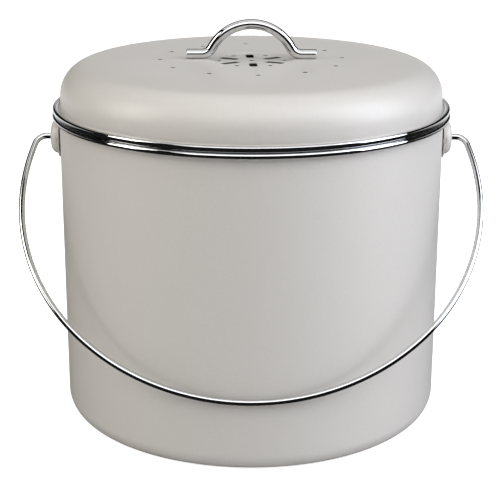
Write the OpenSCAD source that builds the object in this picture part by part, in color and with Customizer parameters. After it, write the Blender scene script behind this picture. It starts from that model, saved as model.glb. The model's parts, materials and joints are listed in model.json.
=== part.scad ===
// Compost caddy for a kitchen counter: a painted steel bin with a swinging wire handle and a
// loose liner, and a lift-off painted lid with vents over a charcoal filter.
// The origin is the middle of the base, on the ground. +Z is up and -Y is the front.

/* [Bin] */
// Outer diameter of the bin's straight wall
bin_d = 220; // [196:1:250]
// Height of the bin's mouth, to the middle of its bead
bin_h = 176.9; // [160:0.1:230]
// Thickness of the steel sheet
sheet = 1; // [0.8:0.1:1.3]
// Radius of the bin's bottom edge
bottom_r = 10.6; // [6:0.1:14]
// Diameter of the raised panel in the base
base_panel_d = 160; // [120:1:164]
// Height of the raised panel over the ground
base_panel_h = 3; // [1:0.1:5]

/* [Beads] */
// Diameter of the round bead on the bin and on the lid
bead_d = 3.2; // [2.8:0.1:4]
// Distance from the bin's wall to the middle of its bead
bin_bead_out = 2.4; // [2.2:0.05:3.2]
// Distance from the lid's wall to the middle of its bead
lid_bead_out = 2.85; // [2.4:0.05:3.4]
// Radius between a wall and its flange
flange_r = 1.4; // [0.8:0.1:1.6]
// Gap between the lid's bead and the bin's
lid_gap = 0.3; // [0.2:0.05:0.6]

/* [Ears] */
// Height of the bin's bead over the handle's pivot
pivot_drop = 15.3; // [15.3:0.1:30]
// Diameter of an ear's thin rim
ear_rim_d = 24.2; // [21.6:0.1:26]
// Thickness of an ear's thin rim
ear_rim_t = 0.9; // [0.6:0.1:1.2]
// Diameter of an ear's dome
ear_dome_d = 20.2; // [19.6:0.1:21]
// Height of an ear, from its rim to its face
ear_h = 5.7; // [5.4:0.1:7.6]
// Radius round the edge of an ear's face
ear_edge_r = 4.4; // [2.6:0.1:4.6]
// Rise of an ear's face in its middle
ear_crown = 0.3; // [0:0.1:0.6]
// Wall of an ear
ear_wall = 1.4; // [1:0.1:1.6]
// Gap between an ear's rim and the bin's wall
ear_gap = 0.3; // [0.1:0.05:0.8]
// Diameter of the drain notches in an ear's rim
notch_d = 3.5; // [2:0.1:4.4]
// Distance between an ear's two screws
ear_screw_span = 12.4; // [12:0.1:12.8]
// Diameter of the bosses that the screws go into
ear_boss_d = 4.8; // [4.4:0.1:5]

/* [Screws] */
// Diameter of a screw
screw_d = 3; // [2.5:0.1:3.2]
// Diameter of a screw's head
head_d = 5.6; // [4.8:0.1:6]
// Height of a screw's head
head_h = 1.8; // [1.4:0.1:2.2]
// Radial clearance of a screw in a hole that it passes through
hole_gap = 0.2; // [0.1:0.05:0.4]

/* [Carrying handle] */
// Diameter of the handle's wire
wire_d = 3.5; // [3:0.1:4.4]
// Distance from the pivot to the middle of the handle's lowest stretch
bail_reach = 163.3; // [150:0.1:168]
// Distance from the bin's wall to the handle's widest place
bail_out = 20; // [18.6:0.1:26]
// Distance from the pivot to the handle's widest place
bail_drop = 39.5; // [39:0.1:44]
// Angle that the handle's legs lean inwards to the pivot
bail_lean = 15; // [6:0.5:16]
// Radius of the bends next to the ears
elbow_r = 7; // [5:0.1:8.8]
// Gap between the hanging handle and the bin
bail_gap = 0.3; // [0.2:0.05:1]
// Radial clearance of the wire in an ear's bore
pivot_gap = 0.05; // [0.02:0.01:0.1]
// Diameter of the clips on the wire's ends
clip_d = 6.6; // [6:0.1:6.8]
// Thickness of the clips
clip_t = 1; // [0.6:0.1:1.2]

/* [Lid] */
// Distance that the lid's wall stands inside the bin's
lid_inset = 0.9; // [0.5:0.1:2]
// Height of the lid's flat top over the middle of its bead
lid_h = 26.5; // [22:0.1:34]
// Diameter of the flat top
lid_flat_d = 140; // [132:1:146]
// Slope at which the top's soft fall turns into the shoulder, in degrees
lid_fall = 7; // [6:0.5:16]
// Radius of the shoulder
lid_shoulder_r = 17.4; // [14:0.1:18.4]
// Diameter of the shallow recess in the middle of the top
lid_recess_d = 51; // [48:0.5:51]
// Depth of that recess
lid_recess_h = 1.1; // [0.5:0.1:1.6]
// Width of the slope round it
lid_recess_side = 4; // [3:0.5:4.5]

/* [Vents] */
// Diameter of a round vent
vent_d = 2.8; // [2:0.1:3.6]
// Diameter of the dimple round a vent
dimple_d = 4; // [3.8:0.1:5]
// Depth of the dimple
dimple_h = 0.4; // [0.2:0.1:0.6]
// Diameter of the outer ring of vents
outer_ring_d = 104; // [98:1:108]
// Vents in the outer ring
outer_vents = 12; // [6:1:16]
// Diameter of the inner ring of vents
inner_ring_d = 37.4; // [34:0.1:40]
// Slots, and vents in the inner ring
slots = 6; // [4:1:7]
// Width of a slot
slot_w = 4.5; // [2:0.1:6]
// Distance from the lid's middle to a slot's inner end
slot_from = 9; // [7.5:0.1:11]
// Distance from the lid's middle to a slot's outer end
slot_to = 20; // [16:0.1:22]
// Radius of a slot's corners
slot_r = 1; // [0.3:0.1:1]
// Turn of the vents from the lid handle's line, in degrees
vent_turn = 4; // [0:0.5:30]

/* [Lid handle] */
// Diameter of the rod
rod_d = 5.8; // [5:0.1:7]
// Length of the handle, from end to end
handle_span = 74; // [72:0.5:84]
// Rise of the arch over the rod's ends
handle_rise = 17; // [15:0.1:22]
// Radius of the arch, to the rod's middle
arch_r = 25.5; // [22:0.1:28]
// Radius of the bends between the arch and the ends
bend_r = 7; // [5:0.1:8]
// Depth of the flat under each end
handle_flat = 0.3; // [0.1:0.1:0.6]
// Depth of the screw's thread in the rod
thread_depth = 4; // [3:0.1:4.4]

/* [Lid's seat] */
// Thickness of the collar that centres the lid
collar_t = 0.8; // [0.6:0.1:1]
// Depth of the collar below the bin's bead, where the ear screws leave room for it
collar_depth = 7; // [6.5:0.1:9]
// Height of the collar inside the lid, over the lid's bead
collar_rise = 6; // [5:0.1:8]
// Gap between the seal and the bin
seal_gap = 0.3; // [0.2:0.05:0.5]
// Height of the seal below the bin's bead
seal_depth = 5; // [3:0.1:5]

/* [Filter] */
// Width of the holder's ring outside the vents
holder_ring_w = 7; // [6:0.1:8]
// Thickness of the holder's and the cover's plates
plate_t = 1.6; // [1.2:0.1:2]
// Wall of the holder and of the cover
filter_wall = 1.6; // [1.2:0.1:2]
// Width of the ring that the handle's screws go through
screw_ring_w = 12; // [10:0.5:13]
// Width of the holder's spokes
spoke_w = 6; // [4:0.5:8]
// Thickness of the washers
washer_t = 0.6; // [0.4:0.1:1]
// Diameter of the washers
washer_d = 7.5; // [6.5:0.1:8]
// Thickness of the charcoal pad
pad_t = 8; // [6:0.5:9]
// Gap between the pad and the holder's wall
pad_gap = 2.2; // [1:0.1:3]
// Height of the cover's wall
cover_wall_h = 9.5; // [8.5:0.1:10]
// Gap between the cover's wall and the holder's
cover_gap = 0.3; // [0.2:0.05:0.5]
// Turn that locks the cover, in degrees
cover_twist = 25; // [15:1:35]
// Width of a locking lug, in degrees
lug_angle = 8; // [6:1:12]
// Height of a locking lug
lug_h = 2; // [1.6:0.1:2.4]
// Locking lugs
lugs = 3; // [2:1:4]
// Rows of slits in the cover
slit_rows = 5; // [3:1:6]

/* [Liner] */
// Wall of the liner
liner_wall = 2; // [1.5:0.1:3]
// Gap between the liner's rim and the heads of the ear screws
liner_gap = 1.5; // [0.8:0.1:2.5]
// Gap between the liner's rim and the lid's collar
liner_top_gap = 2.7; // [1:0.1:3]
// Width and height of the liner's rim
liner_rim = 4; // [3:0.1:5]
// Distance that the liner narrows to its base, on each side
liner_taper = 6; // [2:0.5:8]
// Radius of the liner's bottom edge
liner_bottom_r = 6; // [4:0.5:8]

/* [Hidden] */

$fn = 96;
arc_step = 5;
fit_gap = 0.05;
over = 1;

// Colours of the finishes
paint = [0.77, 0.75, 0.71];
bright = [0.80, 0.81, 0.82];
plastic = [0.22, 0.24, 0.23];
rubber = [0.55, 0.56, 0.56];
charcoal = [0.05, 0.05, 0.05];
zinc = [0.66, 0.67, 0.66];

// Bin
bin_r = bin_d / 2;
bin_in_r = bin_r - sheet;
bin_bead_r = bin_r + bin_bead_out;
bin_flange_z = bin_h - sheet / 2;
panel_r = base_panel_d / 2;
floor_z = base_panel_h + sheet;

// Lid
lid_r = bin_r - lid_inset;
lid_bead_z = bin_h + bead_d + lid_gap;
lid_bead_r = lid_r + lid_bead_out;
lid_flange_z = lid_bead_z + sheet / 2;
lid_top = lid_bead_z + lid_h;
lid_under = lid_top - sheet;
lid_recess_r = lid_recess_d / 2;
lid_recess_top = lid_top - lid_recess_h;
lid_flat_r = lid_flat_d / 2;
lid_fall_r = (lid_r - lid_shoulder_r * (1 - sin(lid_fall)) - lid_flat_r) / sin(lid_fall);
lid_shoulder_z = lid_top - lid_fall_r * (1 - cos(lid_fall)) - lid_shoulder_r * cos(lid_fall);

// Ears and the screws in them
pivot_z = bin_h - pivot_drop;
ear_x = bin_r + ear_gap;
ear_face = ear_h - ear_crown;
ear_inside = ear_face - ear_wall;
screw_seat = sqrt(pow(bin_in_r, 2) - pow(head_d / 2, 2));
screw_end_gap = 0.2;
screw_tip = ear_inside - 0.6;
through_d = screw_d + 2 * hole_gap;
head_edge = 0.7 * head_h;
recess_w = 0.8;
recess_h = 0.7;
recess_span = 0.6 * head_d;

// A bend of a rod is this much thicker than the stretches on its sides, which run this far into it
bend_step = 0.04;
run_in = 0.3;

// Carrying handle, drawn hanging in the XZ plane with its pivot at the origin
wire_r = wire_d / 2;
wire_edge = 0.5;
bail_widest = bin_r + bail_out;
arc_join = 45;
arc_change = (bail_widest + bail_drop - bail_reach) / (sin(arc_join) + cos(arc_join) - 1);
side_r = bail_widest - arc_change * sin(arc_join);
low_r = side_r + arc_change;
side_x = arc_change * sin(arc_join);
elbow_x = side_x + (side_r - elbow_r + (elbow_r - bail_drop) * sin(bail_lean)) / cos(bail_lean);
clip_play = 0.3;
clip_slit = 0.6;
wire_past = 0.6;
clip_x = ear_x + ear_inside - clip_play;
wire_end_x = clip_x - clip_t - wire_past;
bail_rest = asin((bin_r + bail_gap + wire_r) / bail_reach);

// Lid handle, in the XZ plane
rod_edge = 0.6;
rod_r = rod_d / 2;
rod_z = lid_top + rod_r - handle_flat;
arch_z = rod_z + handle_rise - arch_r;
bend_z = rod_z + bend_r;
bend_x = sqrt(pow(arch_r + bend_r, 2) - pow(bend_z - arch_z, 2));
bend_turn = atan2(bend_z - arch_z, bend_x);
handle_screw_x = (bend_x + handle_span / 2) / 2;

// Collar and seal
collar_out_r = lid_r - sheet - fit_gap;
collar_in_r = collar_out_r - collar_t;
collar_head_gap = 0.5;
collar_z = max(bin_h - collar_depth, pivot_z + ear_screw_span / 2 + head_d / 2 + collar_head_gap);
seal_in_r = collar_out_r + fit_gap;
seal_out_r = bin_in_r - seal_gap;
seal_tuck = 0.3;
seal_lip_r = min(lid_bead_r + seal_tuck, bin_bead_r) - bead_d / 2;
seal_lip_z = bin_h + sheet / 2 + seal_gap;
seal_top = lid_bead_z - bead_d / 2 + seal_tuck;

// Filter
pad_head_gap = 0.4;
vent_margin = 1;
holder_in_r = outer_ring_d / 2 + dimple_d / 2 + vent_margin;
holder_r = holder_in_r + holder_ring_w;
plate_z = lid_under - plate_t;
head_z = plate_z - washer_t - head_h;
pad_top = head_z - pad_head_gap;
pad_r = holder_r - filter_wall - pad_gap;
cover_floor = pad_top - pad_t;
cover_z = cover_floor - plate_t;
cover_in_r = holder_r + cover_gap;
cover_r = cover_in_r + filter_wall;
lug_z = cover_floor + 3.4;
lug_root = 0.5;
lug_slack = 0.5;
lug_short = 0.2;
first_row_r = 6;
row_margin = 2;
rib_w = 5;
slit_share = 0.55;

// Liner
liner_top = collar_z - liner_top_gap;
liner_rim_r = screw_seat - head_h - liner_gap;
liner_r = liner_rim_r - liner_rim / 2;
liner_base_r = liner_r - liner_taper;
liner_slope = atan2(liner_taper, liner_top - floor_z);

// Points on an arc, from one angle to another
function arc(centre, r, from, to) =
    let (n = ceil(abs(to - from) / arc_step))
    [for (i = [0:n]) centre + r * [cos(from + (to - from) * i / n), sin(from + (to - from) * i / n)]];

function reverse(points) = [for (i = [len(points) - 1:-1:0]) points[i]];

function degrees(radians) = radians * 180 / PI;

// The bin's sheet at a depth from its outer face, from the middle of the base to the flange's edge
function bin_skin(depth) =
    let (bend = depth * tan(22.5))
    concat([[0, base_panel_h + depth],
            [panel_r + bend, base_panel_h + depth],
            [panel_r + base_panel_h + bend, depth]],
           arc([bin_r - bottom_r, bottom_r], bottom_r - depth, -90, 0),
           arc([bin_r + flange_r, bin_flange_z - flange_r], flange_r + depth, 180, 90),
           [[bin_bead_r, bin_flange_z + depth]]);

// The lid's sheet at a depth from its outer face, from the middle of the top to the flange's edge
function lid_skin(depth) =
    let (bend = depth * tan(atan2(lid_recess_h, lid_recess_side) / 2))
    concat([[0, lid_recess_top - depth],
            [lid_recess_r - lid_recess_side + bend, lid_recess_top - depth],
            [lid_recess_r + bend, lid_top - depth]],
           arc([lid_flat_r, lid_top - lid_fall_r], lid_fall_r - depth, 90, 90 - lid_fall),
           arc([lid_r - lid_shoulder_r, lid_shoulder_z], lid_shoulder_r - depth, 90 - lid_fall, 0),
           arc([lid_r + flange_r, lid_flange_z + flange_r], flange_r + depth, 180, 270),
           [[lid_bead_r, lid_flange_z - depth]]);

// Half of the bin's section, and half of the lid's
module bin_section() {
    polygon(concat(bin_skin(0), reverse(bin_skin(sheet))));
}

module lid_section() {
    polygon(concat(lid_skin(0), reverse(lid_skin(sheet))));
}

module ring(r_in, r_out, z, h) {
    translate([0, 0, z]) difference() {
        cylinder(r = r_out, h = h);
        translate([0, 0, -over]) cylinder(r = r_in, h = h + 2 * over);
    }
}

// A round bead about the Z axis, rolled over the section that follows
module bead(r, z) {
    rotate_extrude() difference() {
        translate([r, z]) circle(d = bead_d);
        children();
    }
}

// Part of a ring of round wire in the XZ plane
module wire_arc(centre, r, from, to, d) {
    translate([centre[0], 0, centre[1]])
        rotate([90, 0, 0]) rotate([0, 0, from])
            rotate_extrude(angle = to - from) translate([r, 0]) circle(d = d);
}

// A straight rod that starts at the origin and runs along X, with a rounded far end
module rod_end(d, h, edge) {
    r = d / 2;
    rotate([0, 90, 0])
        rotate_extrude() polygon(concat([[0, 0], [r, 0]], arc([r - edge, h - edge], edge, 0, 90), [[0, h]]));
}

// A pan-head screw along Z, with its head's seat at z = 0 and its head below
module screw(shank) {
    difference() {
        union() {
            cylinder(d = screw_d, h = shank);
            rotate_extrude() polygon(concat([[0, 0], [0, -head_h]],
                arc([head_d / 2 - head_edge, head_edge - head_h], head_edge, -90, 0), [[head_d / 2, 0]]));
        }
        for (turn = [0, 90]) rotate([0, 0, turn])
            translate([-recess_span / 2, -recess_w / 2, -head_h - over])
                cube([recess_span, recess_w, recess_h + over]);
    }
}

// Places what follows on an ear's axis, with Z pointing out of the bin. side is 1 or -1
module at_ear(side) {
    translate([side * ear_x, 0, pivot_z]) rotate([0, side * 90, 0]) children();
}

module at_ear_screws() {
    for (s = [-1, 1]) translate([s * ear_screw_span / 2, 0, 0]) children();
}

module bin_shell() {
    color(paint) difference() {
        rotate_extrude() bin_section();
        for (side = [-1, 1]) at_ear(side) at_ear_screws()
            translate([0, 0, -ear_x / 2]) cylinder(d = through_d, h = ear_x);
    }
}

module bin_trim_ring() {
    color(bright) bead(bin_bead_r, bin_h) bin_section();
}

// The outside of an ear, as a solid
module ear_dome() {
    dome_r = ear_dome_d / 2;
    rim_r = ear_rim_d / 2;
    edge = ear_rim_t / 3;
    foot = asin((ear_rim_t - ear_face + ear_edge_r) / ear_edge_r);
    rotate_extrude() polygon(concat([[0, 0], [rim_r, 0]],
        arc([rim_r - edge, ear_rim_t - edge], edge, 0, 90),
        arc([dome_r - ear_edge_r, ear_face - ear_edge_r], ear_edge_r, foot, 90),
        [[0, ear_h]]));
}

// The hollow of an ear
module ear_hollow() {
    dome_r = ear_dome_d / 2;
    rotate_extrude() polygon(concat([[0, -over], [dome_r - ear_wall, -over]],
        arc([dome_r - ear_edge_r, ear_face - ear_edge_r], ear_edge_r - ear_wall, 0, 90),
        [[0, ear_inside]]));
}

module ear(side) {
    color(paint) difference() {
        at_ear(side) difference() {
            union() {
                difference() {
                    ear_dome();
                    ear_hollow();
                }
                at_ear_screws() translate([0, 0, -over])
                    cylinder(d = ear_boss_d, h = ear_inside + 1.1 * over);
            }
            cylinder(r = wire_r + pivot_gap, h = ear_h + over);
            at_ear_screws() translate([0, 0, -2 * over])
                cylinder(d = screw_d, h = screw_tip + 2 * over + screw_end_gap);
            rotate([90, 0, 0]) cylinder(d = notch_d, h = ear_rim_d + over, center = true);
        }
        cylinder(r = bin_r, h = bin_h);
    }
}

module ear_left() {
    ear(-1);
}

module ear_right() {
    ear(1);
}

module ear_screws(side) {
    color(zinc) at_ear(side) at_ear_screws()
        translate([0, 0, screw_seat - ear_x]) screw(screw_tip + ear_x - screw_seat);
}

module ear_screws_left() {
    ear_screws(-1);
}

module ear_screws_right() {
    ear_screws(1);
}

module liner_bucket() {
    inner_base = floor_z + liner_wall;
    color(plastic) rotate_extrude() polygon(concat(
        [[0, floor_z]],
        arc([liner_base_r - liner_bottom_r, floor_z + liner_bottom_r], liner_bottom_r, -90, -liner_slope),
        [[liner_r, liner_top - liner_rim], [liner_rim_r, liner_top - liner_rim]],
        arc([liner_rim_r - 1, liner_top - 1], 1, 0, 90),
        [[liner_r - liner_wall, liner_top]],
        reverse(arc([liner_base_r - liner_bottom_r, floor_z + liner_bottom_r],
                    liner_bottom_r - liner_wall, -90, -liner_slope)),
        [[0, inner_base]]));
}

// One side of the carrying handle, hanging straight down from a pivot at the origin
module bail_side() {
    leg = (bail_drop - elbow_r) * cos(bail_lean) - (elbow_x - side_x) * sin(bail_lean);
    translate([elbow_x + run_in, 0, 0]) rotate([0, 0, 180])
        rod_end(wire_d, elbow_x + run_in - wire_end_x, wire_edge);
    wire_arc([elbow_x, -elbow_r], elbow_r, bail_lean, 90, wire_d + bend_step);
    translate([side_x + side_r * cos(bail_lean), 0, -bail_drop + side_r * sin(bail_lean)])
        rotate([0, -bail_lean, 0]) translate([0, 0, -run_in]) cylinder(d = wire_d, h = leg + 2 * run_in);
    wire_arc([side_x, -bail_drop], side_r, -arc_join, bail_lean, wire_d + bend_step);
}

// Places what follows in the hanging handle's own plane
module at_bail() {
    translate([0, 0, pivot_z]) rotate([-bail_rest, 0, 0]) children();
}

module bail_wire() {
    past = degrees(run_in / low_r);
    color(bright) at_bail() {
        wire_arc([0, low_r - bail_reach], low_r, arc_join - 180 - past, past - arc_join, wire_d);
        bail_side();
        mirror([1, 0, 0]) bail_side();
    }
}

module bail_clips() {
    slit_span = 1.2 * wire_d;
    color(zinc) at_bail() for (side = [-1, 1]) translate([side * clip_x, 0, 0]) rotate([0, -side * 90, 0])
        difference() {
            cylinder(d = clip_d, h = clip_t);
            translate([0, 0, -over]) cylinder(d = wire_d, h = clip_t + 2 * over);
            for (turn = [45, 135]) rotate([0, 0, turn])
                translate([-slit_span / 2, -clip_slit / 2, -over])
                    cube([slit_span, clip_slit, clip_t + 2 * over]);
        }
}

// A slot's outline along X, with round corners
module slot_outline() {
    translate([slot_from, -slot_w / 2 + slot_r]) square([slot_to - slot_from, slot_w - 2 * slot_r]);
    translate([slot_from + slot_r, -slot_w / 2]) square([slot_to - slot_from - 2 * slot_r, slot_w]);
    for (x = [slot_from + slot_r, slot_to - slot_r], y = [-1, 1])
        translate([x, y * (slot_w / 2 - slot_r)]) circle(r = slot_r, $fn = 32);
}

// A round vent with its dimple, to be cut from the lid where its outer face is at height z
module vent(z) {
    translate([0, 0, z - sheet - over]) cylinder(d = vent_d, h = sheet + 2 * over, $fn = 32);
    translate([0, 0, z - dimple_h]) cylinder(d1 = vent_d, d2 = dimple_d, h = dimple_h, $fn = 32);
}

module lid_shell() {
    color(paint) difference() {
        rotate_extrude() lid_section();
        vent(lid_recess_top);
        for (i = [0:outer_vents - 1]) rotate([0, 0, vent_turn - 90 + i * 360 / outer_vents])
            translate([outer_ring_d / 2, 0, 0]) vent(lid_top);
        for (i = [0:slots - 1]) rotate([0, 0, vent_turn - 90 + i * 360 / slots]) {
            translate([0, 0, lid_recess_top - sheet - over])
                linear_extrude(sheet + lid_recess_h + 2 * over) slot_outline();
            rotate([0, 0, 180 / slots]) translate([inner_ring_d / 2, 0, 0]) vent(lid_recess_top);
        }
        for (side = [-1, 1]) translate([side * handle_screw_x, 0, lid_under - over])
            cylinder(d = through_d, h = sheet + 2 * over);
    }
}

module lid_trim_ring() {
    color(bright) bead(lid_bead_r, lid_bead_z) lid_section();
}

module lid_collar() {
    color(zinc) rotate_extrude() polygon([
        [collar_in_r, collar_z],
        [collar_out_r - collar_t / 2, collar_z],
        [collar_out_r, collar_z + collar_t],
        [collar_out_r, lid_bead_z + collar_rise],
        [collar_in_r, lid_bead_z + collar_rise]]);
}

module lid_seal() {
    bottom = bin_h - seal_depth;
    lead = (seal_out_r - seal_in_r) / 2;
    color(rubber) rotate_extrude() polygon([
        [seal_in_r, bottom],
        [seal_out_r - lead, bottom],
        [seal_out_r, bottom + 2 * lead],
        [seal_out_r, seal_lip_z],
        [seal_lip_r, seal_lip_z],
        [seal_lip_r, seal_top],
        [seal_in_r, seal_top]]);
}

// A bend and an end of the lid handle
module handle_side() {
    wire_arc([bend_x, bend_z], bend_r, 180 + bend_turn, 270, rod_d + bend_step);
    translate([bend_x - run_in, 0, rod_z]) rod_end(rod_d, handle_span / 2 - bend_x + run_in, rod_edge);
}

module lid_handle() {
    past = degrees(run_in / arch_r);
    color(bright) difference() {
        union() {
            wire_arc([0, arch_z], arch_r, bend_turn - past, 180 - bend_turn + past, rod_d);
            handle_side();
            mirror([1, 0, 0]) handle_side();
        }
        translate([-handle_span, -rod_d, lid_top - rod_d]) cube([2 * handle_span, 2 * rod_d, rod_d]);
        for (side = [-1, 1]) translate([side * handle_screw_x, 0, lid_top - over])
            cylinder(d = screw_d, h = thread_depth + over);
    }
}

module handle_washers() {
    color(zinc) for (side = [-1, 1]) translate([side * handle_screw_x, 0, 0])
        ring(through_d / 2, washer_d / 2, plate_z - washer_t, washer_t);
}

module handle_screws() {
    seat = plate_z - washer_t;
    color(zinc) for (side = [-1, 1]) translate([side * handle_screw_x, 0, seat])
        screw(lid_top + thread_depth - screw_end_gap - seat);
}

// A part of a flat ring about the Z axis
module ring_part(r_in, r_out, z, h, from, to) {
    rotate([0, 0, from]) rotate_extrude(angle = to - from) translate([r_in, z]) square([r_out - r_in, h]);
}

module filter_holder() {
    wall_z = cover_floor + cover_gap;
    color(plastic) difference() {
        union() {
            ring(holder_in_r, holder_r, plate_z, plate_t);
            ring(holder_r - filter_wall, holder_r, wall_z, lid_under - wall_z);
            ring(handle_screw_x - screw_ring_w / 2, handle_screw_x + screw_ring_w / 2, plate_z, plate_t);
            for (i = [0:3]) rotate([0, 0, vent_turn + 45 + i * 90])
                translate([handle_screw_x, -spoke_w / 2, plate_z])
                    cube([holder_in_r + over - handle_screw_x, spoke_w, plate_t]);
            for (i = [0:lugs - 1]) rotate([0, 0, i * 360 / lugs])
                ring_part(holder_r - lug_root, cover_r - lug_short, lug_z, lug_h, 0, lug_angle);
        }
        for (side = [-1, 1]) translate([side * handle_screw_x, 0, plate_z - over])
            cylinder(d = through_d, h = plate_t + 2 * over);
    }
}

module filter_cover() {
    row_step = (pad_r - first_row_r - row_margin) / slit_rows;
    slot_h = lug_h + 2 * cover_gap;
    color(plastic) difference() {
        union() {
            translate([0, 0, cover_z]) cylinder(r = cover_r, h = plate_t);
            ring(cover_in_r, cover_r, cover_z, cover_wall_h);
        }
        for (row = [0:slit_rows - 1], i = [0:5]) rotate([0, 0, i * 60]) {
            r = first_row_r + row * row_step;
            rib = asin(rib_w / 2 / r);
            ring_part(r, r + row_step * slit_share, cover_z - over, plate_t + 2 * over, rib, 60 - rib);
        }
        for (i = [0:lugs - 1]) rotate([0, 0, i * 360 / lugs]) {
            ring_part(cover_in_r - cover_gap / 2, cover_r + over, lug_z - cover_gap, slot_h,
                      -cover_twist - lug_slack, lug_angle + lug_slack);
            ring_part(cover_in_r - cover_gap / 2, cover_r + over, lug_z - cover_gap, cover_wall_h,
                      -cover_twist - lug_slack, lug_angle - cover_twist + lug_slack);
        }
    }
}

module filter_pad() {
    edge = 0.8;
    color(charcoal) rotate_extrude() polygon([
        [0, cover_floor],
        [pad_r - edge, cover_floor],
        [pad_r, cover_floor + edge],
        [pad_r, pad_top - edge],
        [pad_r - edge, pad_top],
        [0, pad_top]]);
}

bin_shell();
bin_trim_ring();
ear_left();
ear_right();
ear_screws_left();
ear_screws_right();
liner_bucket();
bail_wire();
bail_clips();
lid_shell();
lid_trim_ring();
lid_collar();
lid_seal();
lid_handle();
handle_washers();
handle_screws();
filter_holder();
filter_cover();
filter_pad();
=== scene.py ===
"""A compost caddy for a kitchen counter, dressed around its solid parts for a picture.

Sizes are in millimetres until a mesh is finished, and in metres after that. Each piece stands where
the caddy's solids have it: the origin is the middle of the base, +Z is up and -Y is the front.
"""

from __future__ import annotations

import json
import logging
import math
from dataclasses import dataclass, field
from enum import Enum
from typing import Any, Sequence

import bmesh
import bpy
from mathutils import Matrix, Vector

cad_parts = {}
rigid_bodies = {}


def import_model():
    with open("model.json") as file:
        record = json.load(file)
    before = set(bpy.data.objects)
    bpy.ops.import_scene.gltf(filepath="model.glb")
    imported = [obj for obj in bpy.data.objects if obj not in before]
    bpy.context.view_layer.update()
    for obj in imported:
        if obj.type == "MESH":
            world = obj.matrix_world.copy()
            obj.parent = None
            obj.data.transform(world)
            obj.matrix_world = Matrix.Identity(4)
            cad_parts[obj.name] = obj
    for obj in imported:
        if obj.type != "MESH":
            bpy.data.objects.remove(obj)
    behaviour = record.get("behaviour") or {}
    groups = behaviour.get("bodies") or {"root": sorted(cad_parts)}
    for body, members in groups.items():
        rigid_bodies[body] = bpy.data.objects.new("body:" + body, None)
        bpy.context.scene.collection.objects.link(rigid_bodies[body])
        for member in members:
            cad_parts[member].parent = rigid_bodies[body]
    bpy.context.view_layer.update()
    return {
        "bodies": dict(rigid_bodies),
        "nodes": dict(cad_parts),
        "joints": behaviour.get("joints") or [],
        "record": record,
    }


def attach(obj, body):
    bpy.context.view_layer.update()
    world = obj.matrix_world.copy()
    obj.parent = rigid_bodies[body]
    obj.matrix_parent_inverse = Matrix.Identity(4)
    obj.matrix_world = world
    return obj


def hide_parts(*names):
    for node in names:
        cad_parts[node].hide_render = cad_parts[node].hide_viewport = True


LOG = logging.getLogger("caddy")
METRE = 0.001
NOISE_LOW, NOISE_HIGH = 0.32, 0.68
WHITE = (1.0, 1.0, 1.0)

Point = tuple[float, float]
Colour = tuple[float, float, float]


class Body(Enum):
    """The bodies that the pieces ride on."""

    BIN = "bin"
    CARRYING_HANDLE = "carrying_handle"
    LID = "lid"


class Slot(Enum):
    """The record's names for the paint and bright-metal material slots, which nothing here uses."""

    PAINT = "paint"
    BRIGHT = "bright"


# ---------------------------------------------------------------------------
# Finishes
# ---------------------------------------------------------------------------


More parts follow.
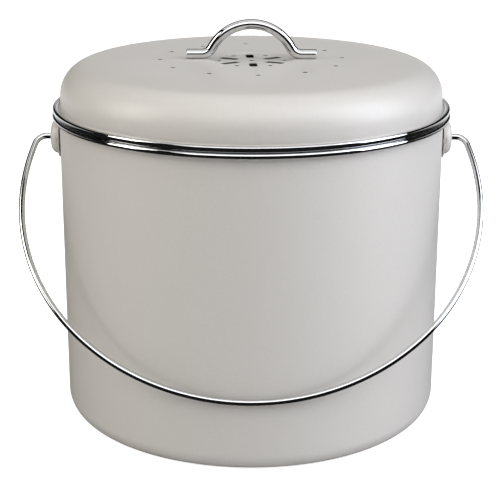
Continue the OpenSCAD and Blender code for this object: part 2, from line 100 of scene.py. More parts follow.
class Graph:
    """A short way to write a shader's nodes."""

    def __init__(self, tree: bpy.types.NodeTree) -> None:
        """Starts from an empty tree.

        Args:
            tree: The material's or the world's node tree.
        """
        self.tree = tree
        tree.nodes.clear()

    def node(self, kind: str, inputs: dict[str, Any] | None = None, **settings: Any) -> bpy.types.Node:
        """Adds a node.

        Args:
            kind: The node's type, without its leading ShaderNode.
            inputs: A constant, or another node's output, for each input socket by name.
            **settings: The node's own settings.

        Returns:
            The new node.
        """
        made = self.tree.nodes.new("ShaderNode" + kind)
        for name, value in settings.items():
            setattr(made, name, value)
        for name, value in (inputs or {}).items():
            socket = made.inputs[int(name)] if name.isdigit() else made.inputs[name]
            if isinstance(value, bpy.types.NodeSocket):
                self.tree.links.new(value, socket)
            elif isinstance(value, tuple) and len(value) == 3 and socket.type == "RGBA":
                socket.default_value = (*value, 1.0)
            else:
                socket.default_value = value
        return made

    def noise(self, scale: float, detail: float = 2.0, roughness: float = 0.55) -> bpy.types.NodeSocket:
        """A noise over the piece's own coordinates.

        Args:
            scale: Grains to a metre.
            detail: Octaves of finer grain.
            roughness: How strong the finer octaves are.

        Returns:
            The noise's value, about 0.5 in the middle.
        """
        where = self.node("TexCoord").outputs["Object"]
        made = self.node("TexNoise", {"Vector": where, "Scale": scale, "Detail": detail, "Roughness": roughness})
        return made.outputs["Fac"]

    def spread(self, value: bpy.types.NodeSocket, low: float, high: float) -> bpy.types.NodeSocket:
        """Stretches the middle of a noise to a range.

        Args:
            value: The noise.
            low: The value at the noise's low side.
            high: The value at its high side.

        Returns:
            The stretched value.
        """
        made = self.node("MapRange", {
            "Value": value, "From Min": NOISE_LOW, "From Max": NOISE_HIGH, "To Min": low, "To Max": high,
        })
        return made.outputs["Result"]

    def around(self, value: bpy.types.NodeSocket, middle: float, margin: float) -> bpy.types.NodeSocket:
        """Stretches the middle of a noise to a range about a value.

        Args:
            value: The noise.
            middle: The range's middle.
            margin: How far it reaches on each side.

        Returns:
            The stretched value.
        """
        return self.spread(value, middle - margin, middle + margin)

    def blend(self, factor: bpy.types.NodeSocket, first: Any, second: Any) -> bpy.types.NodeSocket:
        """Mixes two colours.

        Args:
            factor: 0 gives the first and 1 the second.
            first: A colour, or a socket that gives one.
            second: The same.

        Returns:
            The mixed colour.
        """
        made = self.node("Mix", {"0": factor, "6": first, "7": second}, data_type="RGBA")
        return made.outputs[2]

    def bump(self, height: bpy.types.NodeSocket, depth: float, strength: float = 1.0) -> bpy.types.NodeSocket:
        """Turns a height into a normal.

        Args:
            height: The height, from 0 to 1.
            depth: The relief's depth in metres.
            strength: How much of it shows.

        Returns:
            The normal.
        """
        made = self.node("Bump", {"Height": height, "Distance": depth, "Strength": strength})
        return made.outputs["Normal"]

    def surface(self, shader: bpy.types.Node, output: str = "OutputMaterial") -> None:
        """Makes a shader the tree's surface.

        Args:
            shader: The last shader.
            output: The kind of the output node.
        """
        made = self.node(output)
        self.tree.links.new(shader.outputs[0], made.inputs["Surface"])


@dataclass(frozen=True)
class Finish:
    """What a surface is made of."""

    name: str
    colour: Colour

    def material(self) -> bpy.types.Material:
        """Returns the finish's material, made on its first use."""
        found = bpy.data.materials.get(self.name)
        if found is None:
            found = bpy.data.materials.new(self.name)
            found.use_nodes = True
            self.write(Graph(found.node_tree))
        return found

    def write(self, graph: Graph) -> None:
        """Writes the material's nodes.

        Args:
            graph: The empty tree.
        """
        raise NotImplementedError

    def shade(self, light: float) -> Colour:
        """Returns the colour, lighter or darker by a factor."""
        return tuple(min(1.0, part * light) for part in self.colour)


@dataclass(frozen=True)
class PowderCoat(Finish):
    """Satin paint that was sprayed as powder: a fine speckle over a shallow orange peel."""

    roughness: float = 0.44
    speckle_scale: float = 1500.0
    peel_scale: float = 620.0
    peel_depth: float = 0.00002
    speckle: float = 0.05
    cloud_scale: float = 11.0
    warmth: Colour = (1.0, 0.992, 0.975)
    roughness_spread: float = 0.05
    specular: float = 0.6
    coat: float = 0.4
    coat_roughness: float = 0.38

    def write(self, graph: Graph) -> None:
        """Writes the paint's nodes.

        Args:
            graph: The empty tree.
        """
        speckle = graph.noise(self.speckle_scale, detail=3.0, roughness=0.7)
        cloud = graph.noise(self.cloud_scale, detail=3.0)
        peel = graph.noise(self.peel_scale, detail=2.5)
        grain = graph.blend(graph.spread(speckle, 0.0, 1.0), self.shade(1 - self.speckle), self.shade(1 + self.speckle))
        warm = tuple(part * tint for part, tint in zip(self.colour, self.warmth))
        colour = graph.blend(graph.spread(cloud, 0.0, 0.35), grain, warm)
        normal = graph.bump(peel, self.peel_depth)
        shader = graph.node("BsdfPrincipled", {
            "Base Color": colour,
            "Roughness": graph.around(speckle, self.roughness, self.roughness_spread),
            "Normal": normal,
            "Specular IOR Level": self.specular,
            "Coat Weight": self.coat,
            "Coat Roughness": self.coat_roughness,
        })
        graph.surface(shader)


@dataclass(frozen=True)
class BrightPlate(Finish):
    """Polished chrome, with the faint haze and ripple of plated wire."""

    roughness: float = 0.045
    haze_scale: float = 240.0
    ripple_scale: float = 90.0
    ripple_depth: float = 0.00003

    def write(self, graph: Graph) -> None:
        """Writes the chrome's nodes.

        Args:
            graph: The empty tree.
        """
        haze = graph.noise(self.haze_scale, detail=3.0)
        ripple = graph.noise(self.ripple_scale, detail=1.0)
        shader = graph.node("BsdfPrincipled", {
            "Base Color": graph.blend(graph.spread(haze, 0.0, 1.0), self.shade(0.97), self.shade(1.03)),
            "Metallic": 1.0,
            "Roughness": graph.spread(haze, self.roughness * 0.6, self.roughness * 1.4),
            "Normal": graph.bump(ripple, self.ripple_depth),
        })
        graph.surface(shader)


@dataclass(frozen=True)
class ZincPlate(Finish):
    """Dull plated steel with soft blotches and fine drawing marks."""

    roughness: float = 0.38
    roughness_spread: float = 0.1
    blotch_scale: float = 160.0
    drawing_scale: float = 2600.0
    drawing_depth: float = 0.00001

    def write(self, graph: Graph) -> None:
        """Writes the plated steel's nodes.

        Args:
            graph: The empty tree.
        """
        blotch = graph.noise(self.blotch_scale, detail=4.0, roughness=0.65)
        fine = graph.noise(self.drawing_scale, detail=2.0)
        shader = graph.node("BsdfPrincipled", {
            "Base Color": graph.blend(graph.spread(blotch, 0.0, 1.0), self.shade(0.88), self.shade(1.08)),
            "Metallic": 1.0,
            "Roughness": graph.around(blotch, self.roughness, self.roughness_spread),
            "Normal": graph.bump(fine, self.drawing_depth),
        })
        graph.surface(shader)


@dataclass(frozen=True)
class MouldedPlastic(Finish):
    """Plastic from a spark-eroded mould: matt, with an even fine grain."""

    roughness: float = 0.5
    roughness_spread: float = 0.08
    grain_scale: float = 2400.0
    grain_depth: float = 0.00002
    flow_scale: float = 14.0

    def write(self, graph: Graph) -> None:
        """Writes the plastic's nodes.

        Args:
            graph: The empty tree.
        """
        grain = graph.noise(self.grain_scale, detail=3.0, roughness=0.6)
        flow = graph.noise(self.flow_scale, detail=2.0)
        shader = graph.node("BsdfPrincipled", {
            "Base Color": graph.blend(graph.spread(flow, 0.0, 1.0), self.shade(0.94), self.shade(1.06)),
            "Roughness": graph.around(grain, self.roughness, self.roughness_spread),
            "Normal": graph.bump(grain, self.grain_depth),
        })
        graph.surface(shader)


@dataclass(frozen=True)
class SoftRubber(Finish):
    """Dusty moulded rubber."""

    roughness: float = 0.75
    roughness_spread: float = 0.1
    dust_scale: float = 500.0
    dust_depth: float = 0.00002

    def write(self, graph: Graph) -> None:
        """Writes the rubber's nodes.

        Args:
            graph: The empty tree.
        """
        dust = graph.noise(self.dust_scale, detail=4.0, roughness=0.7)
        shader = graph.node("BsdfPrincipled", {
            "Base Color": graph.blend(graph.spread(dust, 0.0, 1.0), self.shade(0.9), self.shade(1.1)),
            "Roughness": graph.around(dust, self.roughness, self.roughness_spread),
            "Normal": graph.bump(dust, self.dust_depth),
        })
        graph.surface(shader)


@dataclass(frozen=True)
class CharcoalFelt(Finish):
    """Open-celled foam that carries charcoal."""

    cell_scale: float = 900.0
    cell_depth: float = 0.0004
    fibre_scale: float = 1800.0
    sheen: float = 0.1

    def write(self, graph: Graph) -> None:
        """Writes the foam's nodes.

        Args:
            graph: The empty tree.
        """
        where = graph.node("TexCoord").outputs["Object"]
        cells = graph.node("TexVoronoi", {"Vector": where, "Scale": self.cell_scale}).outputs["Distance"]
        fibre = graph.noise(self.fibre_scale, detail=4.0, roughness=0.7)
        shader = graph.node("BsdfPrincipled", {
            "Base Color": graph.blend(cells, self.shade(0.5), self.shade(1.6)),
            "Roughness": graph.spread(fibre, 0.85, 1.0),
            "Normal": graph.bump(cells, self.cell_depth),
            "Sheen Weight": self.sheen,
        })
        graph.surface(shader)


@dataclass(frozen=True)
class StudioFloor(Finish):
    """Pale paper that the camera sees as white and that keeps its shadows.

    Bright metal sees it white where it lies well behind the caddy, and dark nearer by and in front.
    """

    glow: float = 0.86
    white_from: float = 0.9
    dark_until: float = 0.25
    dark: float = 0.012
    near: float = 0.3
    far: float = 0.8

    def write(self, graph: Graph) -> None:
        """Writes the floor's nodes.

        Args:
            graph: The empty tree.
        """
        rays = graph.node("LightPath").outputs
        place = graph.node("TexCoord").outputs["Object"]
        where = graph.node("SeparateXYZ", {"Vector": place}).outputs
        fade = graph.node("MapRange", {
            "Value": where["Y"], "From Min": self.dark_until, "From Max": self.white_from,
            "To Min": self.dark, "To Max": 1.0,
        }, interpolation_type="SMOOTHSTEP").outputs["Result"]
        seen = graph.node("Math", {"0": rays["Is Camera Ray"], "1": rays["Is Transmission Ray"]}, operation="MAXIMUM")
        reach = graph.node("VectorMath", {"0": place}, operation="LENGTH")
        glow = graph.node("MapRange", {
            "Value": reach.outputs["Value"], "From Min": self.near, "From Max": self.far,
            "To Min": self.glow, "To Max": 1.0,
        }).outputs["Result"]
        lift = graph.node("Math", {"0": seen.outputs[0], "1": glow}, operation="MULTIPLY")
        paper = graph.node("BsdfDiffuse", {"Color": self.colour})
        light = graph.node("Emission", {"Color": WHITE, "Strength": lift.outputs[0]})
        lit = graph.node("AddShader", {"0": paper.outputs[0], "1": light.outputs[0]})
        mirrored = graph.node("Emission", {"Color": WHITE, "Strength": fade})
        mixed = graph.node("MixShader", {"0": rays["Is Glossy Ray"], "1": lit.outputs[0], "2": mirrored.outputs[0]})
        graph.surface(mixed)


PAINT = PowderCoat("stone_powder_coat", (0.53, 0.507, 0.478))
BRIGHT = BrightPlate("bright_plate", (0.63, 0.635, 0.64))
ZINC = ZincPlate("zinc_plate", (0.62, 0.62, 0.60))
LINER = MouldedPlastic("liner_plastic", (0.045, 0.052, 0.048))
FILTER_CASE = MouldedPlastic("filter_plastic", (0.012, 0.012, 0.012))
SEAL = SoftRubber("seal_rubber", (0.26, 0.27, 0.27))
CHARCOAL = CharcoalFelt("charcoal_foam", (0.010, 0.010, 0.010))
FLOOR = StudioFloor("studio_floor", (0.76, 0.76, 0.76))


# ---------------------------------------------------------------------------
# Shapes
# ---------------------------------------------------------------------------


EDGE_STEPS = (0, 18, 36, 54, 72, 90)


def polar(centre: Point, radius: float, angle: float) -> Point:
    """Returns the point at an angle, in degrees, on a circle."""
    turn = math.radians(angle)
    return centre[0] + radius * math.cos(turn), centre[1] + radius * math.sin(turn)


def arc(centre: Point, radius: float, start: float, end: float, step: float = 3.0) -> list[Point]:
    """Points on an arc, with both ends.

    Args:
        centre: The arc's centre.
        radius: Its radius.
        start: The angle of the first point, in degrees.
        end: The angle of the last one.
        step: The widest angle between two points.

    Returns:
        The points, in order.
    """
    count = max(2, math.ceil(abs(end - start) / step))
    return [polar(centre, radius, start + (end - start) * i / count) for i in range(count + 1)]


def braced(section: Sequence[Point], margin: float = 0.5) -> list[Point]:
    """Adds a point near both ends of each long straight stretch, which keeps its shading even.

    Args:
        section: The section's points.
        margin: The distance from the ends.

    Returns:
        The section with the added points.
    """
    out: list[Point] = [section[0]]
    for (r0, z0), (r1, z1) in zip(section, section[1:]):
        length = math.hypot(r1 - r0, z1 - z0)
        if length > 5 * margin:
            for share in (margin / length, 1 - margin / length):
                out.append((r0 + (r1 - r0) * share, z0 + (z1 - z0) * share))
        out.append((r1, z1))
    return out


def turned(section: Sequence[Point], segments: int = 288, closed: bool = False) -> bmesh.types.BMesh:
    """Turns a section about the Z axis.

    Args:
        section: Radius and height of each point. An open section is closed by a flat disc at each end.
        segments: Steps of the turn.
        closed: Whether the last point joins the first.

    Returns:
        The closed shape.
    """
    made = bmesh.new()
    angles = [2 * math.pi * i / segments for i in range(segments)]
    rings = [[made.verts.new((r * math.cos(a), r * math.sin(a), z)) for a in angles] for r, z in section]
    pairs = list(zip(rings, rings[1:] + rings[:1]))
    for low, high in pairs if closed else pairs[:-1]:
        for i in range(segments):
            j = (i + 1) % segments
            made.faces.new((low[i], low[j], high[j], high[i]))
    if not closed:
        made.faces.new(rings[0])
        made.faces.new(rings[-1])
    bmesh.ops.recalc_face_normals(made, faces=made.faces)
    return made


def swept(path: Sequence[Point], radius: float, edge: float, segments: int = 40) -> bmesh.types.BMesh:
    """Sweeps a round rod along a path in the XZ plane, with rounded ends.

    Args:
        path: The rod's middle line.
        radius: The rod's radius.
        edge: The radius round the ends' edges.
        segments: Steps round the rod.

    Returns:
        The closed shape.
    """
    points = [Vector((x, 0.0, z)) for x, z in path]
    first = (points[0] - points[1]).normalized()
    last = (points[-1] - points[-2]).normalized()
    quarter = [(edge * (math.cos(math.radians(a)) - 1), edge * (math.sin(math.radians(a)) - 1)) for a in EDGE_STEPS]
    stations = [(points[0] + first * along, -first, radius + inward) for along, inward in quarter]
    for before, here, after in zip(points, points[1:], points[2:]):
        stations.append((here, (after - before).normalized(), radius))
    stations += [(points[-1] + last * along, last, radius + inward) for along, inward in reversed(quarter)]
    made = bmesh.new()
    side = Vector((0.0, 1.0, 0.0))
    rings = []
    for centre, along, r in stations:
        out = side.cross(along)
        turns = [2 * math.pi * i / segments for i in range(segments)]
        rings.append([made.verts.new(centre + (out * math.cos(a) + side * math.sin(a)) * r) for a in turns])
    for low, high in zip(rings, rings[1:]):
        for i in range(segments):
            j = (i + 1) % segments
            made.faces.new((low[i], low[j], high[j], high[i]))
    made.faces.new(rings[0])
    made.faces.new(rings[-1])
    bmesh.ops.recalc_face_normals(made, faces=made.faces)
    return made


def joined(parts: Sequence[bmesh.types.BMesh]) -> bmesh.types.BMesh:
    """Puts separate shapes into one, and frees them.

    Args:
        parts: The shapes.

    Returns:
        One shape that holds them all.
    """
    made = bmesh.new()
    for part in parts:
        mesh = bpy.data.meshes.new("part")
        part.to_mesh(mesh)
        part.free()
        made.from_mesh(mesh)
        bpy.data.meshes.remove(mesh)
    return made


def moved(part: bmesh.types.BMesh, where: Matrix) -> bmesh.types.BMesh:
    """Moves a shape and returns it."""
    bmesh.ops.transform(part, matrix=where, verts=part.verts)
    return part


def carved(body: bmesh.types.BMesh, tools: bmesh.types.BMesh) -> bmesh.types.BMesh:
    """Cuts one shape out of another.

    Args:
        body: What is cut. It is freed.
        tools: What is taken away. It is freed.

    Returns:
        The rest.
    """
    made = []
    for part in (body, tools):
        mesh = bpy.data.meshes.new("carve")
        part.to_mesh(mesh)
        part.free()
        made.append(bpy.data.objects.new("carve", mesh))
        bpy.context.scene.collection.objects.link(made[-1])
    cut = made[0].modifiers.new("cut", "BOOLEAN")
    cut.operation = "DIFFERENCE"
    cut.solver = "EXACT"
    cut.object = made[1]
    graph = bpy.context.evaluated_depsgraph_get()
    result = bpy.data.meshes.new_from_object(made[0].evaluated_get(graph))
    out = bmesh.new()
    out.from_mesh(result)
    bpy.data.meshes.remove(result)
    for thing in made:
        mesh = thing.data
        bpy.data.objects.remove(thing)
        bpy.data.meshes.remove(mesh)
    return out


def add_piece(
    shape: bmesh.types.BMesh,
    name: str,
    body: Body,
    finish: Finish,
    replaces: Sequence[str] = (),
    crease: float = 32.0,
) -> bpy.types.Object:
    """Makes a shape a piece of the caddy.

    Args:
        shape: The shape, in millimetres and in its place. It is freed.
        name: The piece's name.
        body: The body that it rides on.
        finish: Its finish.
        replaces: The solids that it stands for.
        crease: The angle over which an edge is sharp, in degrees.

    Returns:
        The piece.
    """
    mesh = bpy.data.meshes.new(name)
    shape.to_mesh(mesh)
    shape.free()
    mesh.transform(Matrix.Scale(METRE, 4))
    mesh.shade_smooth()
    mesh.set_sharp_from_angle(angle=math.radians(crease))
    mesh.materials.clear()
    mesh.materials.append(finish.material())
    piece = bpy.data.objects.new(name, mesh)
    bpy.context.scene.collection.objects.link(piece)
    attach(piece, body.value)
    if replaces:
        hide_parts(*replaces)
    LOG.info("%s: %d faces, rides on %s", name, len(mesh.polygons), body.value)
    return piece


def dress(frame: dict[str, Any], node: str, finish: Finish) -> None:
    """Gives a solid its finish.

    Args:
        node: The solid's name.
        finish: The finish.
    """
    solid = frame["nodes"][node]
    if not solid.material_slots:
        solid.data.materials.append(None)
    for place in solid.material_slots:
        place.material = finish.material()
    LOG.info("%s: dressed in %s", node, finish.name)


# ---------------------------------------------------------------------------
# The caddy
# ---------------------------------------------------------------------------


@dataclass
class Bead:
    """A bright round bead that is rolled over the edge of a painted flange."""

    ring_radius: float
    height: float
    flange_low: float
    flange_high: float
    radius: float = 1.6
    fullness: float = 2.0

    def rolled(self, point: Point) -> Point:
        """Returns a point of the round section, pushed out to the bead's fuller one."""
        share = 2 / self.fullness
        radial, high = ((part - middle) / self.radius for part, middle in zip(point, (self.ring_radius, self.height)))
        return (self.ring_radius + math.copysign(abs(radial) ** share, radial) * self.radius,
                self.height + math.copysign(abs(high) ** share, high) * self.radius)

    def shape(self) -> bmesh.types.BMesh:
        """Returns the bead, open on its inner side where the flange comes in."""
        over, under = (((edge - self.height) / self.radius) for edge in (self.flange_high, self.flange_low))
        start = 180 - math.degrees(math.asin(over ** (self.fullness / 2)))
        end = -180 + math.degrees(math.asin((-under) ** (self.fullness / 2)))
        section = [self.rolled(point) for point in arc((self.ring_radius, self.height), self.radius, start, end, 4.0)]
        section += [(self.ring_radius, self.flange_low), (self.ring_radius, self.flange_high)]
        return turned(section, segments=360, closed=True)


@dataclass
class Bin:
    """The painted steel bin with the bead round its mouth."""

    radius: float = 110.0
    height: float = 176.9
    sheet: float = 1.0
    bottom_radius: float = 10.6
    panel_radius: float = 80.0
    panel_height: float = 3.0
    flange_radius: float = 1.4
    bead_out: float = 2.4
    screw_hole: float = 1.7
    screw_reach: float = 5.0
    pivot_height: float = 161.6
    screw_spread: float = 6.2

    @property
    def bead_radius(self) -> float:
        """The distance from the axis to the middle of the bead."""
        return self.radius + self.bead_out

    def skin(self, depth: float) -> list[Point]:
        """The sheet's line at a depth from its outer face.

        Args:
            depth: 0 is the outer face, and the sheet's thickness the inner one.

        Returns:
            The points, from the base's middle to the flange's edge.
        """
        flange = self.height - self.sheet / 2
        bend = depth * math.tan(math.radians(22.5))
        corner = (self.radius - self.bottom_radius, self.bottom_radius)
        neck = (self.radius + self.flange_radius, flange - self.flange_radius)
        return [
            (self.panel_radius + bend, self.panel_height + depth),
            (self.panel_radius + self.panel_height + bend, depth),
            *arc(corner, self.bottom_radius - depth, -90, 0),
            *arc(neck, self.flange_radius + depth, 180, 90, step=6.0),
            (self.bead_radius, flange + depth),
        ]

    def build(self) -> None:
        """Builds the bin and its bead."""
        section = braced(self.skin(0.0) + self.skin(self.sheet)[::-1])
        holes = []
        for side in (-1, 1):
            for spread in (-self.screw_spread, self.screw_spread):
                turn = Matrix.Rotation(math.radians(90), 4, "Y")
                hole = turned([(self.screw_hole, -self.screw_reach), (self.screw_hole, self.screw_reach)], segments=32)
                where = Matrix.Translation((side * self.radius, 0.0, self.pivot_height + spread))
                holes.append(moved(hole, where @ turn))
        shell = carved(turned(section), joined(holes))
        add_piece(shell, "bin_wall", Body.BIN, PAINT, ["bin_shell"])
        half = self.sheet / 2
        bead = Bead(self.bead_radius, self.height, self.height - half, self.height + half)
        add_piece(bead.shape(), "bin_bead", Body.BIN, BRIGHT, ["bin_trim_ring"])


@dataclass
class Ear:
    """A painted cup on the bin's side that the carrying handle turns in."""

    side: int
    notch: float
    foot_radius: float = 12.1
    foot_height: float = 0.9
    dome_radius: float = 10.1
    height: float = 5.7
    crown: float = 0.3
    edge: float = 4.4
    wall: float = 1.4
    notch_depth: float = 0.3
    bore: float = 1.8
    bore_edge: float = 0.35
    wall_distance: float = 110.3
    pivot_height: float = 161.6

    def section(self) -> list[Point]:
        """Returns the cup's section, from the outside of the bore round to its inside."""
        face = self.height - self.crown
        centre = (self.dome_radius - self.edge, face - self.edge)
        lip = self.foot_height / 3
        foot = math.degrees(math.asin((self.foot_height - centre[1]) / self.edge))
        rise = self.crown * self.bore / centre[0]
        return [
            *arc((self.bore + self.bore_edge, self.height - rise - self.bore_edge), self.bore_edge, 180, 90, step=30.0),
            *arc(centre, self.edge, 90, foot),
            *arc((self.foot_radius - lip, self.foot_height - lip), lip, 90, 0, step=20.0),
            (self.foot_radius, 0.0),
            (self.dome_radius - self.wall, 0.0),
            *arc(centre, self.edge - self.wall, 0, 90, step=6.0),
            (self.bore, face - self.wall),
        ]

    def build(self) -> None:
        """Builds the ear on its side."""
        cup = turned(self.section(), segments=128, closed=True)
        deep = self.dome_radius - self.notch_depth
        notches = []
        for turn in (-90, 90):
            notch = turned([(self.notch / 2, deep), (self.notch / 2, self.foot_radius + 2)], segments=48)
            notches.append(moved(notch, Matrix.Rotation(math.radians(turn), 4, "X")))
        cup = carved(cup, joined(notches))
        where = Matrix.Translation((self.side * self.wall_distance, 0.0, self.pivot_height))
        turn = Matrix.Rotation(math.radians(90 * self.side), 4, "Y")
        name = "right" if self.side > 0 else "left"
        add_piece(moved(cup, where @ turn), f"ear_cup_{name}", Body.BIN, PAINT, [f"ear_{name}"])


@dataclass
class CarryingHandle:
    """The bright wire that hangs from the ears and rests on the bin's front."""

    wire: float = 1.75
    reach: float = 163.3
    widest: float = 130.0
    drop: float = 39.5
    lean: float = 15.0
    elbow: float = 7.0
    end: float = 112.4
    edge: float = 0.5
    join: float = 45.0
    gap: float = 0.3
    wall: float = 110.0
    pivot_height: float = 161.6

    def half(self) -> list[Point]:
        """Returns the middle line of the right half, from its end in the ear down to the middle."""
        turn, lean = math.radians(self.join), math.radians(self.lean)
        change = (self.widest + self.drop - self.reach) / (math.sin(turn) + math.cos(turn) - 1)
        side = self.widest - change * math.sin(turn)
        low = side + change
        side_x = change * math.sin(turn)
        elbow_x = side_x + (side - self.elbow + (self.elbow - self.drop) * math.sin(lean)) / math.cos(lean)
        return [
            (self.end, 0.0),
            (elbow_x - 0.5, 0.0),
            *arc((elbow_x, -self.elbow), self.elbow, 90, self.lean, step=5.0),
            *arc((side_x, -self.drop), side, self.lean, -self.join, step=1.5),
            *arc((0.0, low - self.reach), low, -self.join, -90, step=1.5)[1:],
        ]

    def build(self) -> None:
        """Builds the wire, at rest against the bin's front."""
        right = self.half()
        path = right + [(-x, z) for x, z in reversed(right[:-1])]
        wire = swept(path, self.wire, self.edge)
        rest = math.asin((self.wall + self.gap + self.wire) / self.reach)
        where = Matrix.Translation((0.0, 0.0, self.pivot_height)) @ Matrix.Rotation(-rest, 4, "X")
        add_piece(moved(wire, where), "wire_handle", Body.CARRYING_HANDLE, BRIGHT, ["bail_wire"])


@dataclass
class Vents:
    """The punched holes and slots in the lid's top."""

    top: float
    middle: float
    sheet: float = 1.0
    hole: float = 1.4
    lip: float = 0.12
    edge: float = 0.15
    relief: float = 1.5
    outer_ring: float = 52.0
    outer_count: int = 12
    inner_ring: float = 18.7
    slot_count: int = 6
    slot_from: float = 9.0
    slot_to: float = 20.0
    slot_width: float = 4.5
    slot_corner: float = 1.0
    turn: float = 4.0
    screw_hole: float = 1.7
    screw_at: float = 32.78

    def hole_tool(self, x: float, y: float) -> bmesh.types.BMesh:
        """A round hole with a rolled-in edge, at the height that the lid has there.

        Args:
            x: Where it is.
            y: The same.

        Returns:
            What is cut away.
        """
        wide = self.hole + self.lip
        face = self.middle if math.hypot(x, y) < self.slot_to else self.top
        section = [
            (self.hole + self.relief, face - 2 * self.sheet),
            (self.hole + self.relief, face - self.edge),
            (self.hole, face - self.edge),
            *reversed(arc((wide, face - self.lip), self.lip, 90, 180, step=15.0)),
            (wide, face + self.sheet),
        ]
        return moved(turned(section, segments=40), Matrix.Translation((x, y, 0.0)))

    def slot_outline(self, grow: float) -> list[Point]:
        """A slot's outline along X.

        Args:
            grow: How much wider than the slot it is, on each side.

        Returns:
            The outline's points.
        """
        half, corner = self.slot_width / 2, self.slot_corner
        spots = [(self.slot_to - corner, half - corner, 0), (self.slot_from + corner, half - corner, 90),
                 (self.slot_from + corner, corner - half, 180), (self.slot_to - corner, corner - half, 270)]
        return [point for x, y, start in spots for point in arc((x, y), corner + grow, start, start + 90, step=15.0)]

    def slot_tool(self, angle: float) -> bmesh.types.BMesh:
        """A slot that points at the lid's middle.

        Args:
            angle: Its direction, in degrees.

        Returns:
            What is cut away.
        """
        made = bmesh.new()
        levels = [(self.relief, self.middle - 2 * self.sheet), (self.relief, self.middle - self.edge),
                  (0.0, self.middle - self.edge), (0.0, self.top + self.sheet)]
        rings = [[made.verts.new((x, y, z)) for x, y in self.slot_outline(grow)] for grow, z in levels]
        for low, high in zip(rings, rings[1:]):
            for i in range(len(low)):
                j = (i + 1) % len(low)
                made.faces.new((low[i], low[j], high[j], high[i]))
        made.faces.new(rings[0])
        made.faces.new(rings[-1])
        bmesh.ops.recalc_face_normals(made, faces=made.faces)
        return moved(made, Matrix.Rotation(math.radians(angle), 4, "Z"))

    def tools(self) -> bmesh.types.BMesh:
        """Returns all that is cut from the lid."""
        start = self.turn - 90
        places = [(0.0, 0.0)]
        places += [polar((0, 0), self.outer_ring, start + i * 360 / self.outer_count) for i in range(self.outer_count)]
        step = 360 / self.slot_count
        places += [polar((0, 0), self.inner_ring, start + (i + 0.5) * step) for i in range(self.slot_count)]
        parts = [self.hole_tool(x, y) for x, y in places]
        parts += [self.slot_tool(start + i * step) for i in range(self.slot_count)]
        for x in (-self.screw_at, self.screw_at):
            section = [(self.screw_hole, self.top - 2 * self.sheet), (self.screw_hole, self.top + self.sheet)]
            parts.append(moved(turned(section, segments=32), Matrix.Translation((x, 0.0, 0.0))))
        return joined(parts)


@dataclass
class Lid:
    """The painted lid with the bead round its edge."""

    radius: float = 109.1
    bead_height: float = 180.4
    top: float = 206.9
    sheet: float = 1.0
    flat_radius: float = 70.0
    fall: float = 7.0
    shoulder: float = 17.4
    flange_radius: float = 1.4
    bead_out: float = 2.85
    recess: float = 1.1
    recess_from: float = 20.9
    recess_to: float = 26.1
    recess_steps: int = 12
    bead_fullness: float = 3.2

    def skin(self, depth: float) -> list[Point]:
        """The sheet's line at a depth from its outer face.

        Args:
            depth: 0 is the outer face, and the sheet's thickness the inner one.

        Returns:
            The points, from the top's flat middle to the flange's edge.
        """
        fall = math.radians(self.fall)
        fall_r = (self.radius - self.shoulder * (1 - math.sin(fall)) - self.flat_radius) / math.sin(fall)
        shoulder_z = self.top - fall_r * (1 - math.cos(fall)) - self.shoulder * math.cos(fall)
        flange = self.bead_height + self.sheet / 2
        slope = []
        for i in range(self.recess_steps + 1):
            share = i / self.recess_steps
            radius = self.recess_from + (self.recess_to - self.recess_from) * share
            slope.append((radius, self.top - self.recess * (1 + math.cos(math.pi * share)) / 2 - depth))
        return [
            (self.recess_from - 0.1, self.top - self.recess - depth),
            *slope,
            (self.flat_radius - 4, self.top - depth),
            *arc((self.flat_radius, self.top - fall_r), fall_r - depth, 90, 90 - self.fall, step=1.0),
            *arc((self.radius - self.shoulder, shoulder_z), self.shoulder - depth, 90 - self.fall, 0)[1:],
            *arc((self.radius + self.flange_radius, flange + self.flange_radius), self.flange_radius + depth,
                 180, 270, step=6.0),
            (self.radius + self.bead_out, flange - depth),
        ]

    def build(self) -> None:
        """Builds the lid and its bead."""
        section = braced(self.skin(0.0) + self.skin(self.sheet)[::-1])
        shell = carved(turned(section), Vents(self.top, self.top - self.recess, self.sheet).tools())
        add_piece(shell, "lid_dome", Body.LID, PAINT, ["lid_shell"])
        half = self.sheet / 2
        bead = Bead(self.radius + self.bead_out, self.bead_height, self.bead_height - half, self.bead_height + half,
                    fullness=self.bead_fullness)
        add_piece(bead.shape(), "lid_bead", Body.LID, BRIGHT, ["lid_trim_ring"])


@dataclass
class LidHandle:
    """The bright bent rod on the lid."""

    lid_top: float = 206.9
    rod: float = 2.9
    span: float = 74.0
    rise: float = 17.0
    arch: float = 25.5
    bend: float = 7.0
    flat: float = 0.3
    edge: float = 0.6

    def build(self) -> None:
        """Builds the rod, with its ends flattened where they stand on the lid."""
        rod_z = self.lid_top + self.rod - self.flat
        arch_z = rod_z + self.rise - self.arch
        bend_z = rod_z + self.bend
        bend_x = math.sqrt((self.arch + self.bend) ** 2 - (bend_z - arch_z) ** 2)
        turn = math.degrees(math.atan2(bend_z - arch_z, bend_x))
        half = [(self.span / 2, rod_z), *arc((bend_x, bend_z), self.bend, 270, 180 + turn)]
        half += arc((0.0, arch_z), self.arch, turn, 90, step=2.0)[1:]
        path = half + [(-x, z) for x, z in reversed(half[:-1])]
        rod = swept(path, self.rod, self.edge, segments=48)
        for corner in rod.verts:
            corner.co.z = max(corner.co.z, self.lid_top)
        add_piece(rod, "lid_rod", Body.LID, BRIGHT, ["lid_handle"], crease=50.0)


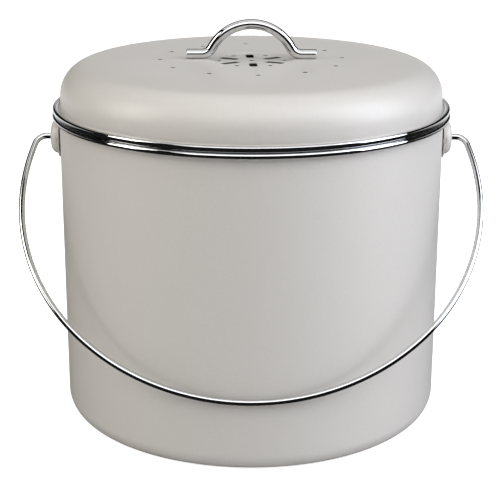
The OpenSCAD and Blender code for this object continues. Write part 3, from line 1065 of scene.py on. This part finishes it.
@dataclass
class Inside:
    """What the caddy holds inside, and its fasteners, which keep their solids."""

    finishes: dict[str, Finish] = field(default_factory=lambda: {
        "liner_bucket": LINER,
        "ear_screws_left": ZINC,
        "ear_screws_right": ZINC,
        "bail_clips": ZINC,
        "lid_collar": ZINC,
        "lid_seal": SEAL,
        "handle_washers": ZINC,
        "handle_screws": ZINC,
        "filter_holder": FILTER_CASE,
        "filter_cover": FILTER_CASE,
        "filter_pad": CHARCOAL,
    })

    def build(self, frame: dict[str, Any]) -> None:
        """Dresses the solids.
        """
        for node, finish in self.finishes.items():
            dress(frame, node, finish)


# ---------------------------------------------------------------------------
# The studio
# ---------------------------------------------------------------------------


@dataclass(frozen=True)
class SoftBox:
    """A square lamp that looks at the caddy."""

    name: str
    place: tuple[float, float, float]
    width: float
    height: float
    power: float
    colour: Colour = (1.0, 1.0, 1.0)
    target: tuple[float, float, float] = (0.0, 0.0, 0.11)

    def build(self) -> None:
        """Hangs the lamp."""
        lamp = bpy.data.lights.new(self.name, "AREA")
        lamp.shape = "RECTANGLE"
        lamp.size = self.width
        lamp.size_y = self.height
        lamp.energy = self.power
        lamp.color = self.colour
        thing = bpy.data.objects.new(self.name, lamp)
        bpy.context.scene.collection.objects.link(thing)
        thing.location = self.place
        aim = Vector(self.target) - Vector(self.place)
        thing.rotation_euler = aim.to_track_quat("-Z", "Y").to_euler()


@dataclass
class Studio:
    """A pale floor, soft lamps and the camera."""

    focal_pixels: float = 1390.0
    picture: float = 500.0
    sensor: float = 36.0
    eye: tuple[float, float, float] = (-0.00056, -0.789148, 0.343141)
    pitch: float = 17.639
    roll: float = 0.151
    floor_size: float = 12.0
    fill: float = 0.04
    room: float = 0.008
    backdrop_from: float = 0.95
    backdrop_full: float = 0.995
    lamps: tuple[SoftBox, ...] = (
        SoftBox("lamp_right", (1.24, -0.3, 0.66), 0.85, 1.3, 17.8, (0.86, 0.90, 1.0)),
        SoftBox("lamp_front", (0.15, -0.84, 1.08), 2.2, 0.9, 13.0),
        SoftBox("lamp_left", (-1.22, -0.36, 0.7), 0.5, 1.0, 8.8, (1.0, 0.98, 0.9)),
        SoftBox("lamp_top", (0.0, 0.25, 1.9), 3.0, 1.6, 14.5),
    )

    def camera(self) -> None:
        """Sets up the camera."""
        lens = bpy.data.cameras.new("camera")
        lens.sensor_width = self.sensor
        lens.lens = self.focal_pixels * self.sensor / self.picture
        lens.clip_start = 0.01
        thing = bpy.data.objects.new("camera", lens)
        bpy.context.scene.collection.objects.link(thing)
        tilt = Matrix.Rotation(math.radians(90 - self.pitch), 4, "X")
        roll = Matrix.Rotation(math.radians(self.roll), 4, "Z")
        thing.matrix_world = Matrix.Translation(self.eye) @ tilt @ roll
        bpy.context.scene.camera = thing

    def floor(self) -> None:
        """Lays the floor."""
        made = bmesh.new()
        bmesh.ops.create_grid(made, x_segments=4, y_segments=4, size=self.floor_size / 2)
        mesh = bpy.data.meshes.new("floor")
        made.to_mesh(mesh)
        made.free()
        mesh.materials.append(FLOOR.material())
        thing = bpy.data.objects.new("floor", mesh)
        bpy.context.scene.collection.objects.link(thing)

    def world(self) -> None:
        """Lights the room: a soft fill, and white where the camera looks past the caddy.

        Bright metal sees the white backdrop behind the caddy, the lamps, and a dark room round them.
        """
        world = bpy.data.worlds.new("studio")
        world.use_nodes = True
        bpy.context.scene.world = world
        graph = Graph(world.node_tree)
        rays = graph.node("LightPath").outputs
        toward = graph.node("SeparateXYZ", {"Vector": graph.node("TexCoord").outputs["Generated"]}).outputs
        backdrop = graph.node("MapRange", {
            "Value": toward["Y"], "From Min": self.backdrop_from, "From Max": self.backdrop_full,
            "To Min": self.room, "To Max": 1.0,
        }, interpolation_type="SMOOTHSTEP").outputs["Result"]
        seen = graph.node("Math", {"0": rays["Is Camera Ray"], "1": rays["Is Transmission Ray"]}, operation="MAXIMUM")
        fill = graph.node("Background", {"Color": WHITE, "Strength": self.fill})
        mirrored = graph.node("Background", {"Color": WHITE, "Strength": backdrop})
        white = graph.node("Background", {"Color": WHITE, "Strength": 1.0})
        lit = graph.node("MixShader", {"0": rays["Is Glossy Ray"], "1": fill.outputs[0], "2": mirrored.outputs[0]})
        mixed = graph.node("MixShader", {"0": seen.outputs[0], "1": lit.outputs[0], "2": white.outputs[0]})
        graph.surface(mixed, "OutputWorld")

    def build(self) -> None:
        """Builds the studio."""
        bpy.context.scene.view_settings.view_transform = "Standard"
        self.camera()
        self.floor()
        self.world()
        for lamp in self.lamps:
            lamp.build()


def main() -> None:
    """Builds the caddy in its studio."""
    logging.basicConfig(level=logging.INFO, format="%(message)s")
    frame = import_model()
    Studio().build()
    Bin().build()
    Ear(side=-1, notch=3.5).build()
    Ear(side=1, notch=4.2).build()
    CarryingHandle().build()
    Lid().build()
    LidHandle().build()
    Inside().build(frame)


if __name__ == "__main__":
    main()
